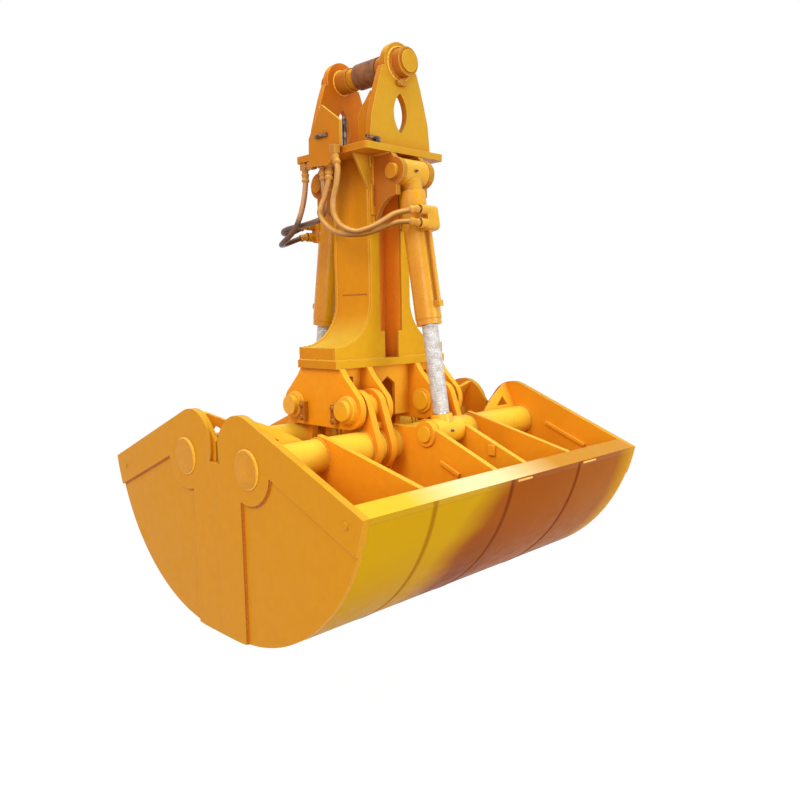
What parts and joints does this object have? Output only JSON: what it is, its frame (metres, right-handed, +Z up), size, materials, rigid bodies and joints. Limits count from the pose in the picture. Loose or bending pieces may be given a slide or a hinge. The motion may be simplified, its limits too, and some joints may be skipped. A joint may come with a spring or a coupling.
{
  "type": "clamshell bucket",
  "caption": "Hydraulic clamshell bucket: two ribbed jaws on a lower bracket under a flared column, each moved by an upright cylinder, hung from a cross pin between two ears.",
  "frame": {"origin": "centre of the hanger pin, halfway between the ears", "axes": "+X to the right along the bucket's width, +Y from the near jaw to the far jaw and along the hanger pin, +Z up"},
  "size_m": [1.534, 1.5206, 2.123],
  "materials": {
    "paint": "semi-gloss yellow-orange enamel",
    "deep_paint": "thin orange enamel",
    "bare_steel": "ground and polished",
    "dark_steel": "oiled",
    "rust": "light rust",
    "hose": "dusty, with paint overspray"
  },
  "bodies": {
    "frame": {"head_plate": "paint", "hanger_ear_near": "paint", "hanger_ear_far": "paint", "ear_bosses": "paint", "hanger_pin": "rust", "pin_sleeve": "rust", "hose_bracket": "paint", "supply_couplings": "dark_steel", "hose_fittings": "deep_paint", "column_left_cheek": "paint", "column_right_cheek": "paint", "column_face_plates": "paint", "column_web": "deep_paint", "column_foot": "paint", "head_gussets": "paint", "cylinder_lugs": "paint", "cylinder_head_pins": "paint", "bracket_outer_plates": "paint", "bracket_inner_plates": "paint", "bracket_webs": "deep_paint", "jaw_pivot_pins": "paint", "pin_keepers": "dark_steel", "near_upper_hose": "hose", "near_lower_hose": "hose", "far_upper_hose": "hose", "far_lower_hose": "hose"},
    "near_jaw": {"near_end_plate_left": "paint", "near_end_plate_right": "paint", "near_end_doublers": "paint", "near_shell_plate": "deep_paint", "near_cutting_edge": "deep_paint", "near_lip_bar": "paint", "near_torque_tube": "paint", "near_ribs": "paint", "near_arms": "paint", "near_pivot_bushes": "paint", "near_stiffeners": "paint", "near_rod_pin_ends": "paint"},
    "far_jaw": {"far_end_plate_left": "paint", "far_end_plate_right": "paint", "far_end_doublers": "paint", "far_shell_plate": "deep_paint", "far_cutting_edge": "deep_paint", "far_lip_bar": "paint", "far_torque_tube": "paint", "far_ribs": "paint", "far_arms": "paint", "far_pivot_bushes": "paint", "far_stiffeners": "paint", "far_rod_pin_ends": "paint"},
    "near_barrel": {"near_barrel": "paint", "near_gland": "paint", "near_port_block": "paint"},
    "near_rod": {"near_rod": "bare_steel", "near_rod_eye": "paint"},
    "far_barrel": {"far_barrel": "paint", "far_gland": "paint", "far_port_block": "paint"},
    "far_rod": {"far_rod": "bare_steel", "far_rod_eye": "paint"}
  },
  "joints": [
    {"name": "near_jaw_swing", "type": "hinge", "parent": "frame", "child": "near_jaw", "pos_m": [0, -0.157, -1.285], "axis": [-1, 0, 0], "range_deg": [0, 60]},
    {"name": "far_jaw_swing", "type": "hinge", "parent": "frame", "child": "far_jaw", "pos_m": [0, 0.157, -1.285], "axis": [1, 0, 0], "range_deg": [0, 60]},
    {"name": "near_barrel_swing", "type": "hinge", "parent": "frame", "child": "near_barrel", "pos_m": [0, -0.22, -0.406], "axis": [-1, 0, 0], "range_deg": [0, 1]},
    {"name": "far_barrel_swing", "type": "hinge", "parent": "frame", "child": "far_barrel", "pos_m": [0, 0.22, -0.406], "axis": [1, 0, 0], "range_deg": [0, 1]},
    {"name": "near_rod_slide", "type": "slide", "parent": "near_barrel", "child": "near_rod", "axis": [0, 0.1609, 0.987], "range_m": [0, 0.24]},
    {"name": "far_rod_slide", "type": "slide", "parent": "far_barrel", "child": "far_rod", "axis": [0, -0.1609, 0.987], "range_m": [0, 0.24]}
  ],
  "couplings": [
    {"joint": "far_jaw_swing", "follows": "near_jaw_swing", "ratio": 1},
    {"joint": "near_barrel_swing", "follows": "near_jaw_swing", "ratio": 0.007592},
    {"joint": "far_barrel_swing", "follows": "near_jaw_swing", "ratio": 0.007592},
    {"joint": "near_rod_slide", "follows": "near_jaw_swing", "m_per_rad": 0.22778},
    {"joint": "far_rod_slide", "follows": "near_jaw_swing", "m_per_rad": 0.22778}
  ]
}
